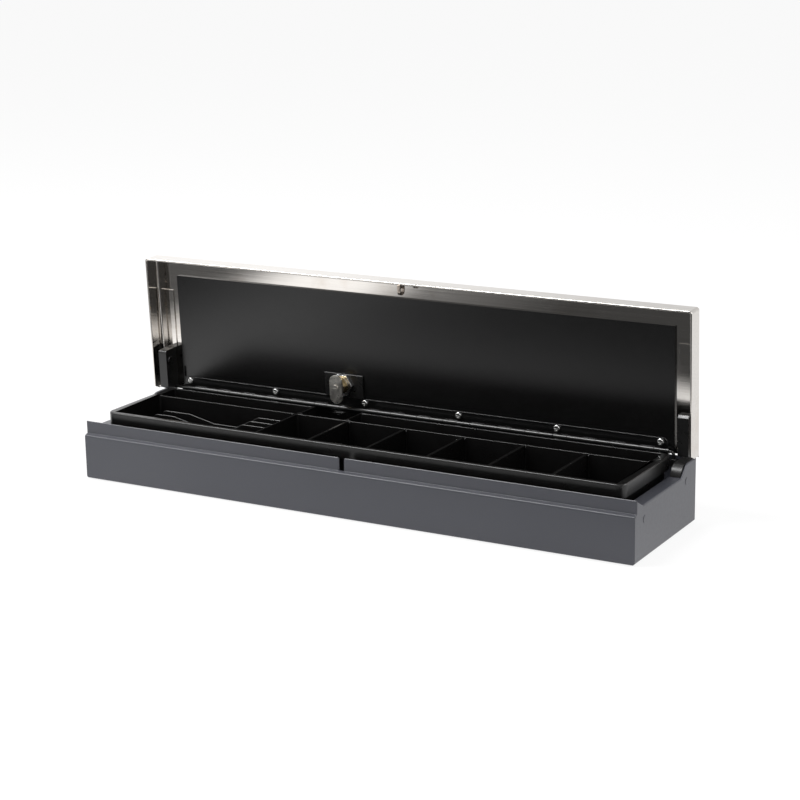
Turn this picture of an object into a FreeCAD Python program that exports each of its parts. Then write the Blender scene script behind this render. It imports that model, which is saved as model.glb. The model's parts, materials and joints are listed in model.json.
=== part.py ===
import FreeCAD, Part
import math
import os

# Flip-top cash drawer: a long low sheet-metal base with a lift-out plastic tray, and a stainless lid
# on a piano hinge along the back. Shown open, as it stands for use.
# Millimetres. X right, Y back, Z up. The origin is on the underside of the base pan, in the middle of
# the four counter-fixing holes. The lid is described shut and then swung open about its hinge.

Vector = FreeCAD.Vector
NEAR = 0.01

# Base case
base_width = 600.0
base_depth = 142.8
sheet = 1.2
bend_inside = 0.5
lower_band_top = 44.25
step_back = 4.4
step_rise = 1.65
front_top = 58.3
side_low_top = 50.5
side_dip_from_front = 19.2
rear_top = 61.3
rear_slope_start = 35.0
rear_slope_end = 22.9
rear_shoulder_round = 12.0
flange_width = 13.0
flange_relief_width = 4.6
flange_relief_length = 47.8
right_relief_length = 34.9
flange_edge_round = 1.6
profile_round = 3.0
corner_round = 2.0
joint_clearance = 0.05
run_on = 5.0
head_round_share = 0.6

# Counter fixing and feet
fixing_spacing_x = 480.0
fixing_spacing_y = 90.0
fixing_hole_radius = 2.6
foot_radius = 10.0
foot_height = 1.5
foot_inset_x = 32.0
foot_inset_y = 21.4

# Corner rivets
rivet_radius = 2.0
rivet_head_radius = 3.6
rivet_head_height = 0.3
rivet_tail_height = 0.9
front_rivet_from_front = 23.1
front_rivet_z = 36.6
rear_rivet_from_back = 21.8
rear_rivet_z = 44.6
tab_height = 11.0
tab_length = 30.0

# Lid shell
lid_gap_side = 1.75
lid_gap_front = -1.35
plate = 1.0
lid_depth = 20.2
lid_bend = 3.0
hem_height = 6.0
hem_round = 0.8
lid_rear_overhang = 3.0
skirt_rear_inset = 1.5
skirt_corner_depth = 7.2
skirt_corner_length = 3.6
lid_open_angle = 87.4

# Lid inner panel
panel = 2.5
panel_left_gap = 24.2
panel_right_gap = 20.6
panel_front_gap = 19.8
panel_rear_overhang = 1.0
panel_slot_width = 2.8
panel_slot_length = 11.5
panel_slot_start = 11.5
panel_slot_inset = 1.5
panel_slot_depth = 1.5

# Piano hinge
hinge_end_gap = 25.0
knuckle_radius = 2.75
knuckle_pitch = 15.0
knuckle_gap = 0.3
leaf = 1.2
leaf_root = 3.2
leaf_reach = 12.0
lower_leaf_drop = 15.0
leaf_end_inset = 2.0
leaf_corner = 3.0
pin_radius = 1.4
pin_clearance = 0.05
hinge_above_wall = 0.95
hinge_fixings = 6
hinge_fixing_end = 9.0
leaf_screw_reach = 8.0
leaf_rivet_drop = 9.0
screw_radius = 1.7
screw_head_radius = 3.4
screw_head_height = 2.0
recess_width = 0.9
recess_length = 4.0
recess_depth = 1.0
leaf_rivet_radius = 1.6
leaf_rivet_head_radius = 2.9
leaf_rivet_head_height = 0.9

# Torsion bar ends
bar_end_engagement = 6.5
bar_crank_gap = 4.5
bar_crank_radius = 3.0
bar_leg_drop = 12.5
anchor_width = 7.0
anchor_height = 7.0
anchor_wall = 2.0

# Lid side blocks and strips
clamp_side_gap = 5.2
clamp_width = 9.6
clamp_length = 42.0
clamp_depth = 19.5
clamp_rear = 3.0
clamp_heel_depth = 8.5
clamp_heel_length = 2.0
clamp_round = 3.0
clamp_bolt_reach = 31.0
clamp_bolt_depth = 13.5
clamp_bolt_radius = 3.8
clamp_bolt_height = 1.6
clamp_bolt_shank = 1.5
clamp_bolt_length = 5.5
stop_width = 10.9
stop_side_gap = 5.2
stop_length = 37.0
stop_depth = 8.5
stop_clearance = 0.3
stop_bevel = 2.5
post_outer_gap = 2.0
post_lower_gap = 5.0
post_width = 10.1
post_length = 32.2
post_round = 14.0
post_tab_gap = 0.5
post_rear_gap = 0.2
strip_width = 15.0
strip_side_gap = 2.0
strip_thickness = 1.2
strip_end = 104.0
strip_gap = 1.0

# Striker eye
eye_thickness = 3.5
eye_radius = 4.85
eye_hole_radius = 3.2
eye_depth = 16.0
eye_stand = 1.2
slot_side_clearance = 0.8
slot_bottom_rise = -0.2
slot_mouth = 1.0

# Lid lock
lock_x = -78.0
lock_reach = 25.0
barrel_radius = 8.0
barrel_flange_radius = 9.5
barrel_flange_height = 1.5
barrel_depth = 17.5
lock_fit = 0.15
plug_radius = 5.0
plug_recess = 0.3
keyway_width = 1.4
keyway_length = 6.0
keyway_depth = 6.0
cam_width = 14.4
cam_tail = 13.2
cam_nose = 16.4
cam_thickness = 2.2
cam_screw_radius = 3.0
cam_screw_shank = 1.75
cam_screw_height = 1.4
cam_screw_slot = 0.8
nut_across_flats = 21.0
nut_height = 3.0
lock_plate_left = 21.0
lock_plate_right = 23.5
lock_plate_front = 36.0
lock_plate_thickness = 2.0
keeper_thickness = 1.5
keeper_gap = 0.35
keeper_offset = 10.0
keeper_width = 11.0
keeper_front = 6.0
keeper_back = 12.5
keeper_foot = 9.0

# Tray
tray_side_gap = 17.2
tray_front_gap = 15.4
tray_rear_gap = 15.9
tray_bottom = 10.0
tray_top_gap = 0.75
tray_floor = 2.0
tray_corner = 9.0
rim_width = 4.2
side_rim_width = 8.0
rim_height = 13.0
rim_round = 1.5
tray_wall = 2.2
pocket_corner = 2.5
tray_foot_round = 2.0
cup_scoop = 12.0
cup_depth = 76.1
inner_wall = 2.0
cup_count = 6
first_cup_width = 58.7
note_width = 166.6
bay_left = 25.0
bay_right = 28.0
inner_wall_drop = 1.0

# Cup dividers and note partitions
divider_thickness = 3.0
divider_side_clearance = 0.25
divider_end_clearance = 0.3
divider_drop = 1.0
divider_round = 0.7
divider_corner = 1.5
divider_scoop_ease = 1.0
rib_width = 1.2
rib_depth = 1.2
rib_drop = 2.5
partition_thickness = 1.6
partition_places = (20.6, 34.6, 49.4)
partition_dips = (60.0, 47.5, 56.5)
partition_fall = 30.0
partition_start = 22.0
partition_low_end = 117.8
partition_step_end = 139.8
partition_drop = 1.3
partition_left_drop = 7.5
partition_low_drop = 14.1
partition_bend = 14.0
partition_corner = 6.0

# Tray rails
rail_x = 180.0
rail_width = 30.0
rail_foot = 10.0
rail_end_gap = 5.0

# Latch
latch_x = 2.5
latch_travel = 9.0
bolt_radius = 1.75
bolt_wall_gap = 0.4
bolt_clearance = 0.05
bolt_nose = 0.5
bracket_left = -31.0
bracket_right = 62.0
bracket_top = 52.8
bracket_bottom = 43.6
bracket_neck = 2.0
ear_starts = (-7.0, 5.0, 14.0)
ear_thickness = 1.5
ear_depth = 5.0
ear_top_rise = 2.2
ear_round = 2.4
link_x = 27.0
link_thickness = 2.0
link_width = 5.0
link_end_margin = 1.0
link_bracket_gap = 0.3
link_round = 1.0
solenoid_x = 30.0
solenoid_length = 30.0
solenoid_width = 12.6
solenoid_height = 12.6
solenoid_drop = 19.25
solenoid_frame = 1.6
plunger_radius = 3.0
plunger_clearance = 0.1
plunger_length = 24.0
coil_gap = 0.3
switch_length = 19.8
switch_width = 6.4
switch_height = 10.2
switch_top_rise = 0.3
button_radius = 1.2
button_reach = 2.0
button_travel = 1.0
button_depth = 2.5
button_offset = 0.7
button_drop = 1.2
button_gap = 0.6

# Rear socket and harness
socket_x = 225.0
socket_z = 30.0
socket_width = 15.0
socket_height = 14.0
socket_depth = 15.5
socket_flange = 1.5
socket_flange_thickness = 0.8
socket_mouth_width = 9.8
socket_mouth_height = 6.8
socket_mouth_depth = 12.0
socket_key_width = 4.4
socket_key_height = 2.0
socket_fit = 0.1
socket_corner = 1.0
harness_radius = 1.6
harness_bend = 8.0
harness_floor_gap = 0.3
harness_from_back = 11.4
harness_turn = 12.0
harness_drop = 5.0

# Places that follow from the sizes above
half_width = base_width / 2
front_y = -base_depth / 2
back_y = base_depth / 2
hinge_y = back_y - sheet - knuckle_radius
hinge_z = rear_top + hinge_above_wall + knuckle_radius
axis_depth = plate + panel + knuckle_radius
lid_top = hinge_z + axis_depth
lid_half = half_width + lid_gap_side + plate
lid_reach = hinge_y - front_y - lid_gap_front
panel_left = -half_width + panel_left_gap
panel_right = half_width - panel_right_gap
panel_reach = lid_reach - panel_front_gap
panel_face = plate + panel
hinge_half = half_width - hinge_end_gap
knuckle_count = 2 * int(hinge_half / knuckle_pitch) + 1
knuckle_step = 2 * hinge_half / knuckle_count
leaf_half = hinge_half - leaf_end_inset
crank_x = hinge_half + bar_crank_gap
pin_bore_radius = pin_radius + pin_clearance
tray_half = half_width - tray_side_gap
tray_front = front_y + tray_front_gap
tray_back = back_y - tray_rear_gap
tray_top = lid_top - panel_face - tray_top_gap
pocket_half = tray_half - side_rim_width
pocket_front = tray_front + rim_width
pocket_back = tray_back - rim_width
pocket_floor = tray_bottom + tray_floor
cup_back = pocket_front + cup_depth
trough_front = cup_back + inner_wall
note_right = -pocket_half + note_width
cup_left = note_right + inner_wall
first_divider = cup_left + first_cup_width
cup_step = (pocket_half - first_divider) / (cup_count - 1)
eye_y = front_y + lid_gap_front + 2 * plate + eye_stand + eye_radius
bolt_y = front_y + step_back + sheet + bolt_wall_gap + bolt_radius
bolt_z = lid_top - eye_depth
solenoid_y = front_y + sheet + solenoid_width / 2
solenoid_z = bolt_z - solenoid_drop
switch_x = latch_x - latch_travel - button_gap - button_reach
lock_y = hinge_y - lock_reach
clamp_outer = -half_width + clamp_side_gap
clamp_inner = clamp_outer + clamp_width


def block(x_low, x_high, y_low, y_high, z_low, z_high):
    """A box between two corners."""
    return Part.makeBox(x_high - x_low, y_high - y_low, z_high - z_low, Vector(x_low, y_low, z_low))


def rod(radius, start, end):
    """A round bar between two points."""
    along = end - start
    return Part.makeCylinder(radius, along.Length, start, along)


def outline(corners):
    """A closed wire through corners given as (point, radius), round where the radius isn't 0."""
    stretches = []
    for i, (point, radius) in enumerate(corners):
        if radius == 0:
            stretches.append((point, None, point))
            continue
        to_last = (corners[i - 1][0] - point).normalize()
        to_next = (corners[(i + 1) % len(corners)][0] - point).normalize()
        half = to_last.getAngle(to_next) / 2
        inward = (to_last + to_next).normalize()
        centre = point + inward * (radius / math.sin(half))
        reach = radius / math.tan(half)
        stretches.append((point + to_last * reach, centre - inward * radius, point + to_next * reach))
    edges = []
    for i, (start, middle, end) in enumerate(stretches):
        if middle is not None:
            edges.append(Part.Arc(start, middle, end).toShape())
        following = stretches[(i + 1) % len(stretches)][0]
        if (following - end).Length > NEAR / 100:
            edges.append(Part.LineSegment(end, following).toShape())
    return Part.Wire(edges)


def prism(corners, along):
    """A solid with the given outline, extruded by a vector."""
    return Part.Face(outline(corners)).extrude(along)


def profile_across(corners, x_low, x_high):
    """A solid whose section in Y and Z is given as (y, z, radius)."""
    placed = [(Vector(x_low, y, z), radius) for y, z, radius in corners]
    return prism(placed, Vector(x_high - x_low, 0, 0))


def profile_along(corners, y_low, y_high):
    """A solid whose section in X and Z is given as (x, z, radius)."""
    placed = [(Vector(x, y_low, z), radius) for x, z, radius in corners]
    return prism(placed, Vector(0, y_high - y_low, 0))


def profile_up(corners, z_low, z_high):
    """A solid whose plan in X and Y is given as (x, y, radius)."""
    placed = [(Vector(x, y, z_low), radius) for x, y, radius in corners]
    return prism(placed, Vector(0, 0, z_high - z_low))


def rectangle(u_low, u_high, v_low, v_high, radius):
    """Corners of a rectangle, each with the same radius."""
    low = [(u_low, v_low, radius), (u_high, v_low, radius)]
    high = [(u_high, v_high, radius), (u_low, v_high, radius)]
    return low + high


def sheet_faces(path, thickness, bend):
    """Both faces of a bent sheet's section: the given line, and the one to its right, with bend radii."""
    normals = []
    for (u_from, v_from), (u_to, v_to) in zip(path, path[1:]):
        length = math.hypot(u_to - u_from, v_to - v_from)
        normals.append(((v_to - v_from) / length, (u_from - u_to) / length))
    given = [(path[0][0], path[0][1], 0)]
    other = [(path[0][0] + normals[0][0] * thickness, path[0][1] + normals[0][1] * thickness, 0)]
    for i in range(1, len(path) - 1):
        before, after = normals[i - 1], normals[i]
        scale = thickness / (1 + before[0] * after[0] + before[1] * after[1])
        turn_right = before[0] * after[1] - before[1] * after[0] < 0
        given.append((path[i][0], path[i][1], bend + thickness if turn_right else bend))
        shift_u, shift_v = (before[0] + after[0]) * scale, (before[1] + after[1]) * scale
        other.append((path[i][0] + shift_u, path[i][1] + shift_v, bend if turn_right else bend + thickness))
    given.append((path[-1][0], path[-1][1], 0))
    last = normals[-1]
    other.append((path[-1][0] + last[0] * thickness, path[-1][1] + last[1] * thickness, 0))
    return given, other


def sheet_section(path, thickness, bend):
    """The closed section of a bent sheet."""
    given, other = sheet_faces(path, thickness, bend)
    return given + other[::-1]


def edges_at(shape, test):
    """The edges whose bounding box passes a test."""
    return [edge for edge in shape.Edges if test(edge.BoundBox)]


def is_at(value, place):
    """Whether a coordinate is at a place."""
    return abs(value - place) < NEAR


def on_sides(box, half):
    """Whether an edge lies in one of the two planes at equal distances left and right."""
    return box.XLength < NEAR and is_at(abs(box.XMin), half)


def round_edges(solid, radius, test):
    """Rounds the edges of a solid whose bounding boxes pass a test."""
    return solid.makeFillet(radius, edges_at(solid, test))


def lid_box(x_low, x_high, reach_low, reach_high, depth_low, depth_high):
    """A box on the shut lid. Reach runs forward from the hinge axis, depth down from the outer face."""
    y_low, y_high = hinge_y - reach_high, hinge_y - reach_low
    return block(x_low, x_high, y_low, y_high, lid_top - depth_high, lid_top - depth_low)


def lid_profile(corners, x_low, x_high):
    """A solid on the shut lid whose section is given as (reach, depth, radius)."""
    placed = [(hinge_y - reach, lid_top - depth, radius) for reach, depth, radius in corners]
    return profile_across(placed, x_low, x_high)


def lid_rod(radius, x, reach, depth_low, depth_high):
    """A round bar through the shut lid, square to its face."""
    y = hinge_y - reach
    return rod(radius, Vector(x, y, lid_top - depth_high), Vector(x, y, lid_top - depth_low))


def swing_open(shape):
    """The shut lid's piece, moved to where it stands open."""
    opened = shape.copy()
    opened.rotate(Vector(0, hinge_y, hinge_z), Vector(1, 0, 0), -lid_open_angle)
    return opened


def save(name, *solids):
    """Writes one node, as one solid or as a group of separate ones."""
    shape = solids[0] if len(solids) == 1 else Part.makeCompound(list(solids))
    shape.exportStep("parts/" + name + ".step")


def hinge_fixing_places():
    """Where the screws and rivets sit along the hinge."""
    first = -hinge_half + hinge_fixing_end
    step = -2 * first / (hinge_fixings - 1)
    return [first + i * step for i in range(hinge_fixings)]


def front_path():
    """The front face's line, with the step that the lid's front edge drops in front of."""
    step_top = lower_band_top + step_rise
    step_y = front_y + step_back
    return [(front_y, 0), (front_y, lower_band_top), (step_y, step_top), (step_y, front_top)]


def side_top_path():
    """The side wall's top line, from the front edge to the back."""
    dip_y = front_y + side_dip_from_front
    inner_y = front_y + step_back + sheet
    fall = (front_top - side_low_top) / (side_dip_from_front - step_back)
    inner_top = side_low_top + fall * (dip_y - inner_y)
    return [
        (inner_y, inner_top),
        (dip_y, side_low_top),
        (back_y - rear_slope_start, side_low_top),
        (back_y - rear_slope_end, rear_top),
        (back_y - sheet, rear_top),
    ]


def side_rivet_places():
    """Y and Z of the rivets that hold the front and rear panels to each side."""
    return [(front_y + front_rivet_from_front, front_rivet_z), (back_y - rear_rivet_from_back, rear_rivet_z)]


def rounded_side_path(extra):
    """The side top line with round bends, run on at both ends by an extra length."""
    path = side_top_path()
    rise = (path[0][1] - path[1][1]) / (path[1][0] - path[0][0])
    return [(path[0][0] - extra, path[0][1] + rise * extra)] + path[1:4] + [(path[4][0] + extra, path[4][1])]


def make_base_pan():
    front_inner = sheet_faces(front_path(), sheet, bend_inside)[1]
    top = side_top_path()
    corners = front_inner[:3]
    corners += [(top[0][0], top[0][1], 0)]
    corners += [(y, z, profile_round) for y, z in top[1:3]]
    corners += [(top[3][0], top[3][1], rear_shoulder_round)]
    corners += [(back_y - sheet, rear_top, 0), (back_y - sheet, 0, 0)]
    pan = profile_across(corners, -half_width, half_width)
    pan = round_edges(pan, corner_round, lambda box: on_sides(box, half_width) and is_at(box.ZMax, 0))
    above = side_low_top - NEAR
    side_edges = edges_at(pan, lambda box: on_sides(box, half_width) and box.ZMin > above)
    top_edges = [edge for edge in side_edges if edge.BoundBox.YLength > NEAR]
    pan = pan.makeFillet(flange_edge_round, top_edges)

    under = sheet_faces(rounded_side_path(run_on), sheet, profile_round - sheet)[1]
    under[3] = (under[3][0], under[3][1], rear_shoulder_round - sheet)
    hollow = [(under[0][0], sheet, 0)] + under + [(under[-1][0], sheet, 0)]
    inner_half = half_width - sheet
    hollow = profile_across(hollow, -inner_half, inner_half)
    low_edges = edges_at(hollow, lambda box: on_sides(box, inner_half) and is_at(box.ZMax, sheet))
    hollow = hollow.makeFillet(corner_round - sheet, low_edges)
    pan = pan.cut(hollow)

    mouth_half = half_width - flange_width
    low, high = sheet + corner_round, rear_top + run_on
    mouth = block(-mouth_half, mouth_half, front_y, back_y, low, high)
    relief_half = half_width - flange_relief_width
    left_relief = block(-relief_half, -mouth_half, back_y - flange_relief_length, back_y, low, high)
    right_relief = block(mouth_half, inner_half, back_y - right_relief_length, back_y, low, high)
    pan = pan.cut([mouth, left_relief, right_relief])

    for y, z in side_rivet_places():
        radius = rivet_radius + joint_clearance
        pan = pan.cut(rod(radius, Vector(-half_width - 1, y, z), Vector(half_width + 1, y, z)))
    for x in (-fixing_spacing_x / 2, fixing_spacing_x / 2):
        for y in (-fixing_spacing_y / 2, fixing_spacing_y / 2):
            pan = pan.cut(rod(fixing_hole_radius, Vector(x, y, -1), Vector(x, y, sheet + 1)))
    return pan


def round_bottom_corners(panel_solid):
    """Rounds the two bottom corners of an end panel, in line with the pan's own bends."""
    corners = edges_at(panel_solid, lambda box: on_sides(box, half_width) and is_at(box.ZMax, 0))
    return panel_solid.makeFillet(corner_round, corners)


def side_tabs(y_low, y_high, rivet_y, rivet_z):
    """The panel's two folded tabs, flat against the inside of the pan's walls, with their rivet holes."""
    outer = half_width - sheet
    tabs = []
    for side in (-1, 1):
        x_low, x_high = sorted((side * outer, side * (outer - sheet)))
        tab = block(x_low, x_high, y_low, y_high, rivet_z - tab_height / 2, rivet_z + tab_height / 2)
        hole = rod(
            rivet_radius + joint_clearance,
            Vector(x_low - 1, rivet_y, rivet_z),
            Vector(x_high + 1, rivet_y, rivet_z),
        )
        tabs.append(tab.cut(hole))
    return tabs


def make_front_panel():
    section = sheet_section(front_path(), sheet, bend_inside)
    body = round_bottom_corners(profile_across(section, -half_width, half_width))
    slot_half = eye_thickness / 2 + slot_side_clearance
    slot_low = lower_band_top + step_rise + slot_bottom_rise
    mouth = [
        (-slot_half, slot_low, 0),
        (slot_half, slot_low, 0),
        (slot_half, front_top - slot_mouth, 0),
        (slot_half + slot_mouth, front_top, 0),
        (slot_half + slot_mouth, front_top + 1, 0),
        (-slot_half - slot_mouth, front_top + 1, 0),
        (-slot_half - slot_mouth, front_top, 0),
        (-slot_half, front_top - slot_mouth, 0),
    ]
    body = body.cut(profile_along(mouth, front_y - 1, front_y + step_back + 2 * sheet))
    rivet_y, rivet_z = side_rivet_places()[0]
    for tab in side_tabs(front_y + sheet, front_y + tab_length, rivet_y, rivet_z):
        body = body.fuse(tab)
    return body.removeSplitter()


def make_rear_panel():
    body = block(-half_width, half_width, back_y - sheet, back_y, 0, rear_top)
    body = round_bottom_corners(body)
    window = socket_outline(socket_width / 2 + socket_fit, socket_height / 2 + socket_fit, 0)
    body = body.cut(profile_along(window, back_y - 2 * sheet, back_y + 1))
    for x in hinge_fixing_places():
        z = hinge_z - leaf_rivet_drop
        start = Vector(x, back_y - 2 * sheet, z)
        body = body.cut(rod(leaf_rivet_radius + joint_clearance, start, Vector(x, back_y + 1, z)))
    rivet_y, rivet_z = side_rivet_places()[1]
    for tab in side_tabs(back_y - tab_length, back_y - sheet, rivet_y, rivet_z):
        body = body.fuse(tab)
    return body.removeSplitter()


def make_side_rivets():
    rivets = []
    for side in (-1, 1):
        for y, z in side_rivet_places():
            face = side * half_width
            inside = side * (half_width - 2 * sheet)
            shank = rod(rivet_radius, Vector(inside, y, z), Vector(face, y, z))
            head = rod(rivet_head_radius, Vector(face, y, z), Vector(face + side * rivet_head_height, y, z))
            tail_end = Vector(inside - side * rivet_tail_height, y, z)
            tail = rod(rivet_head_radius, tail_end, Vector(inside, y, z))
            rivets.append(shank.fuse([head, tail]).removeSplitter())
    return rivets


def make_feet():
    feet = []
    x_place = half_width - foot_inset_x
    y_place = base_depth / 2 - foot_inset_y
    for x in (-x_place, x_place):
        for y in (-y_place, y_place):
            narrow = foot_radius - foot_height / 2
            bottom = Vector(x, y, -foot_height)
            feet.append(Part.makeCone(narrow, foot_radius, foot_height, bottom, Vector(0, 0, 1)))
    return feet


def make_tray_rail(x):
    """A top-hat rail that the tray sits on."""
    side = rail_width / 2
    foot_top = 2 * sheet
    path = [
        (x - side - rail_foot, foot_top),
        (x - side, foot_top),
        (x - side, tray_bottom),
        (x + side, tray_bottom),
        (x + side, foot_top),
        (x + side + rail_foot, foot_top),
    ]
    section = sheet_section(path, sheet, bend_inside)
    return profile_along(section, tray_front + rail_end_gap, tray_back - rail_end_gap)


def knuckle(index):
    """One knuckle of the hinge, without its bore."""
    start = -hinge_half + index * knuckle_step + knuckle_gap / 2
    end = start + knuckle_step - knuckle_gap
    return rod(knuckle_radius, Vector(start, hinge_y, hinge_z), Vector(end, hinge_y, hinge_z)), start, end


def bore_knuckles(leaf_solid):
    start = Vector(-half_width, hinge_y, hinge_z)
    return leaf_solid.cut(rod(pin_bore_radius, start, Vector(half_width, hinge_y, hinge_z))).removeSplitter()


def make_lower_leaf():
    y_back = hinge_y + knuckle_radius
    z_low = hinge_z - lower_leaf_drop
    z_high = hinge_z - leaf_root
    corners = [
        (-leaf_half + leaf_corner, z_low, 0),
        (leaf_half - leaf_corner, z_low, 0),
        (leaf_half, z_low + leaf_corner, 0),
        (leaf_half, z_high, 0),
        (-leaf_half, z_high, 0),
        (-leaf_half, z_low + leaf_corner, 0),
    ]
    body = profile_along(corners, y_back - leaf, y_back)
    for x in hinge_fixing_places():
        z = hinge_z - leaf_rivet_drop
        start = Vector(x, y_back - 2 * leaf, z)
        body = body.cut(rod(leaf_rivet_radius + joint_clearance, start, Vector(x, y_back + 1, z)))
    pieces = []
    for index in range(0, knuckle_count, 2):
        roll, start, end = knuckle(index)
        low, high = max(start, -leaf_half), min(end, leaf_half)
        pieces += [roll, block(low, high, y_back - leaf, y_back, z_high, hinge_z)]
    return bore_knuckles(body.fuse(pieces))


def make_upper_leaf():
    z_top = hinge_z + knuckle_radius
    y_front, y_root = hinge_y - leaf_reach, hinge_y - leaf_root
    corners = [
        (-leaf_half, y_root, 0),
        (-leaf_half, y_front + leaf_corner, 0),
        (-leaf_half + leaf_corner, y_front, 0),
        (leaf_half - leaf_corner, y_front, 0),
        (leaf_half, y_front + leaf_corner, 0),
        (leaf_half, y_root, 0),
    ]
    body = profile_up(corners, z_top - leaf, z_top)
    for x in hinge_fixing_places():
        hole = lid_rod(screw_radius + joint_clearance, x, leaf_screw_reach, plate, panel_face + 2 * leaf)
        body = body.cut(hole)
    pieces = []
    for index in range(1, knuckle_count, 2):
        roll, start, end = knuckle(index)
        pieces += [roll, block(start, end, y_root, hinge_y, z_top - leaf, z_top)]
    return bore_knuckles(body.fuse(pieces))


def make_leaf_screws():
    screws = []
    for x in hinge_fixing_places():
        seat = panel_face + leaf
        shank = lid_rod(screw_radius, x, leaf_screw_reach, plate, seat)
        head = lid_rod(screw_head_radius, x, leaf_screw_reach, seat, seat + screw_head_height)
        top = lid_top - seat - screw_head_height
        head = round_edges(head, screw_head_height * head_round_share, lambda box: is_at(box.ZMax, top))
        screw = head.fuse(shank).removeSplitter()
        half_l, half_w = recess_length / 2, recess_width / 2
        depth_high = seat + screw_head_height
        depth_low = depth_high - recess_depth
        for long_x, long_r in ((half_l, half_w), (half_w, half_l)):
            reach_low, reach_high = leaf_screw_reach - long_r, leaf_screw_reach + long_r
            screw = screw.cut(lid_box(x - long_x, x + long_x, reach_low, reach_high, depth_low, depth_high))
        screws.append(screw)
    return screws


def make_leaf_rivets():
    rivets = []
    z = hinge_z - leaf_rivet_drop
    leaf_face = hinge_y + knuckle_radius - leaf
    head_round = leaf_rivet_head_height * head_round_share
    for x in hinge_fixing_places():
        shank = rod(leaf_rivet_radius, Vector(x, leaf_face, z), Vector(x, back_y, z))
        inner_end = Vector(x, leaf_face - leaf_rivet_head_height, z)
        inner = rod(leaf_rivet_head_radius, inner_end, Vector(x, leaf_face, z))
        end = back_y + leaf_rivet_head_height
        outer = rod(leaf_rivet_head_radius, Vector(x, back_y, z), Vector(x, end, z))
        outer = round_edges(outer, head_round, lambda box: is_at(box.YMin, end))
        rivets.append(shank.fuse([inner, outer]).removeSplitter())
    return rivets


def make_torsion_bar():
    """The hinge pin, which is also the lid's lift spring, cranked down at its right end."""
    left = Vector(clamp_inner - bar_end_engagement, hinge_y, hinge_z)
    bend_start = Vector(crank_x - bar_crank_radius, hinge_y, hinge_z)
    bend_centre = bend_start - Vector(0, 0, bar_crank_radius)
    diagonal = bar_crank_radius / math.sqrt(2)
    bend_middle = bend_centre + Vector(diagonal, 0, diagonal)
    bend_end = Vector(crank_x, hinge_y, hinge_z - bar_crank_radius)
    leg_end = Vector(crank_x, hinge_y, hinge_z - bar_leg_drop)
    path = Part.Wire(
        [
            Part.LineSegment(left, bend_start).toShape(),
            Part.Arc(bend_start, bend_middle, bend_end).toShape(),
            Part.LineSegment(bend_end, leg_end).toShape(),
        ]
    )
    ring = Part.Wire([Part.makeCircle(pin_radius, left, Vector(1, 0, 0))])
    return path.makePipeShell([ring], True, False)


def make_bar_anchor():
    """The socket on the rear panel that holds the torsion bar's cranked leg."""
    x = crank_x
    z_low = hinge_z - bar_leg_drop - 1
    y_front = hinge_y - pin_radius - anchor_wall
    z_high = z_low + anchor_height
    body = block(x - anchor_width / 2, x + anchor_width / 2, y_front, back_y - sheet, z_low, z_high)
    return body.cut(rod(pin_bore_radius, Vector(x, hinge_y, z_low + 1), Vector(x, hinge_y, z_high + 1)))


def make_lid_shell():
    front = hinge_y - lid_reach
    rear = hinge_y + lid_rear_overhang
    bottom = lid_top - lid_depth

    def cap(inset, rear_end, low, high, radius):
        """A box with the lid's rounded front, sides and top."""
        half = lid_half - inset
        shape = block(-half, half, front + inset, rear_end, low, high)
        upright = edges_at(shape, lambda box: on_sides(box, half) and is_at(box.YMax, front + inset))
        top_side = edges_at(shape, lambda box: on_sides(box, half) and is_at(box.ZMin, high))
        top_front = edges_at(shape, lambda box: is_at(box.YMax, front + inset) and is_at(box.ZMin, high))
        return shape.makeFillet(radius, upright + top_side + top_front)

    beyond = rear + run_on
    below = bottom - run_on
    under_plate = lid_top - plate
    shell = cap(0, rear, bottom, lid_top, lid_bend)
    shell = shell.cut(cap(plate, beyond, below, under_plate, lid_bend - plate))
    hem_zone = block(-lid_half, lid_half, front, rear, bottom, bottom + hem_height)
    hem = cap(plate, rear, below, under_plate, lid_bend - plate).common(hem_zone)
    hem = hem.cut(cap(2 * plate, beyond, below, under_plate, lid_bend - 2 * plate))
    shell = shell.fuse(hem).removeSplitter()
    shell = round_edges(shell, hem_round, lambda box: is_at(box.ZMax, bottom) and not is_at(box.YMin, rear))

    skirt_rear = -skirt_rear_inset
    outside = -lid_rear_overhang - 1
    beyond = lid_depth + 1
    corner = [
        (outside, lid_bend, 0),
        (skirt_rear, lid_bend, 0),
        (skirt_rear, lid_depth - skirt_corner_depth, 0),
        (skirt_rear + skirt_corner_length, lid_depth, 0),
        (skirt_rear + skirt_corner_length, beyond, 0),
        (outside, beyond, 0),
    ]
    shell = shell.cut(lid_profile(corner, -lid_half - 1, lid_half + 1))
    return shell.cut(lid_rod(barrel_radius + lock_fit, lock_x, lock_reach, -1, plate + 1))


def make_lid_panel():
    body = lid_box(panel_left, panel_right, -panel_rear_overhang, panel_reach, plate, panel_face)
    body = body.cut(lid_rod(barrel_radius + lock_fit, lock_x, lock_reach, 0, panel_face + 1))
    for x in hinge_fixing_places():
        body = body.cut(lid_rod(screw_radius + joint_clearance, x, leaf_screw_reach, 0, panel_face + 1))
    x_low = panel_left + panel_slot_inset
    x_high = x_low + panel_slot_width
    slot_end = panel_slot_start + panel_slot_length
    slot_floor = panel_face - panel_slot_depth
    return body.cut(lid_box(x_low, x_high, panel_slot_start, slot_end, slot_floor, panel_face + 1))


def make_strip(side):
    """A stiffening strip welded inside the lid, beside the panel."""
    outer = half_width - strip_side_gap
    x_low, x_high = sorted((side * outer, side * (outer - strip_width)))
    start = (clamp_length if side < 0 else stop_length) + strip_gap
    return lid_box(x_low, x_high, start, strip_end, plate, plate + strip_thickness)


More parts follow.
